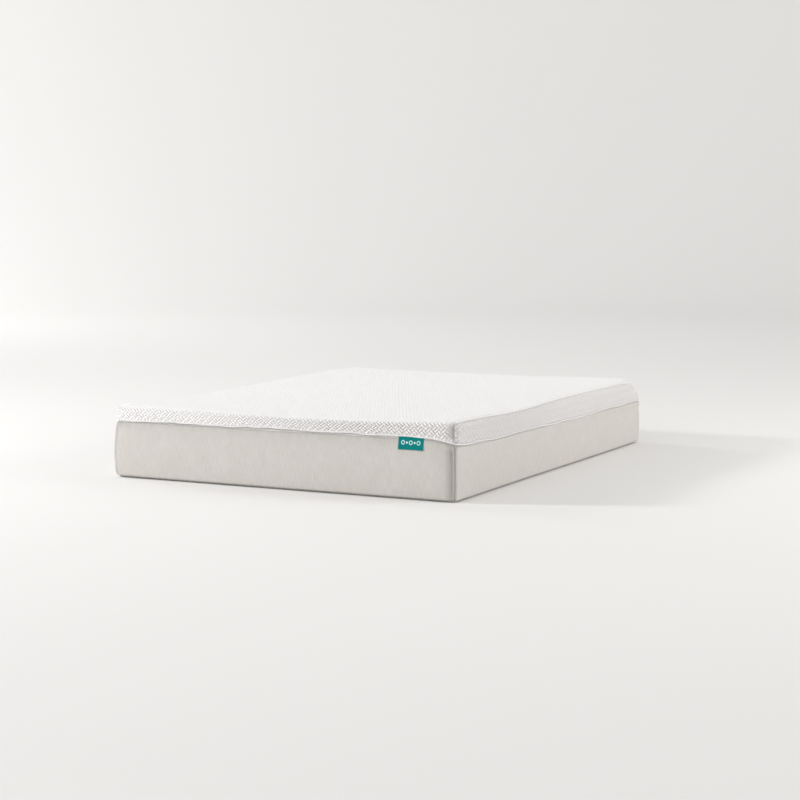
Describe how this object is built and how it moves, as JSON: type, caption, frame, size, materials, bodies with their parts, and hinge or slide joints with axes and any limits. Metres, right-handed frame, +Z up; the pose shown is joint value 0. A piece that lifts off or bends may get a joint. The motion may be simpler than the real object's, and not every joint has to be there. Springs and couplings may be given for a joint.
{
  "type": "memory foam mattress",
  "caption": "Queen memory foam mattress: layered foam core in a knitted sock, white quilted-look zip-off top cover over a grey knitted lower cover, with labels.",
  "frame": {"origin": "centre of the underside, at the middle of the bounding box's bottom face", "axes": "+X across the width, +Y along the length towards the head end, +Z up; the brand label is on the foot end (-Y), right of centre"},
  "size_m": [1.524, 2.032, 0.305],
  "materials": {
    "top_knit": "white raised-pattern knit",
    "hem_fabric": "plain white woven strip",
    "lower_knit": "light warm grey heather knit",
    "base_fabric": "grey non-slip fabric",
    "sock_knit": "off-white fire barrier knit",
    "comfort_foam": "pale blue gel memory foam",
    "transition_foam": "off-white polyurethane foam",
    "support_foam": "light grey high-density foam",
    "zip_tape": "white polyester tape",
    "zip_nylon": "white nylon",
    "zip_metal": "white enamelled zinc",
    "brand_weave": "teal woven label",
    "label_cloth": "white non-woven label"
  },
  "bodies": {
    "mattress": {"foam_comfort_layer": "comfort_foam", "foam_transition_layer": "transition_foam", "foam_support_base": "support_foam", "fire_sock": "sock_knit", "top_panel": "top_knit", "side_band_left": "top_knit", "side_band_right": "top_knit", "hem_lip": "hem_fabric", "lower_panel_foot": "lower_knit", "lower_panel_head": "lower_knit", "lower_panel_left": "lower_knit", "lower_panel_right": "lower_knit", "bottom_panel": "base_fabric", "zip_tape_upper": "zip_tape", "zip_tape_lower": "zip_tape", "zip_coil_upper": "zip_nylon", "zip_coil_lower": "zip_nylon", "zip_end_stop": "zip_metal", "zip_start_stop": "zip_metal", "brand_label": "brand_weave", "law_label": "label_cloth", "care_label": "label_cloth"},
    "slider": {"zip_slider": "zip_metal"},
    "pull": {"zip_pull": "zip_metal"}
  },
  "joints": [
    {"name": "slider_travel", "type": "slide", "parent": "mattress", "child": "slider", "axis": [-1, 0, 0], "range_m": [0, 1.12]},
    {"name": "pull_swing", "type": "hinge", "parent": "slider", "child": "pull", "pos_m": [0.5702, 1.01425, 0.1966], "axis": [0, 0, -1], "range_deg": [0, 170]}
  ]
}
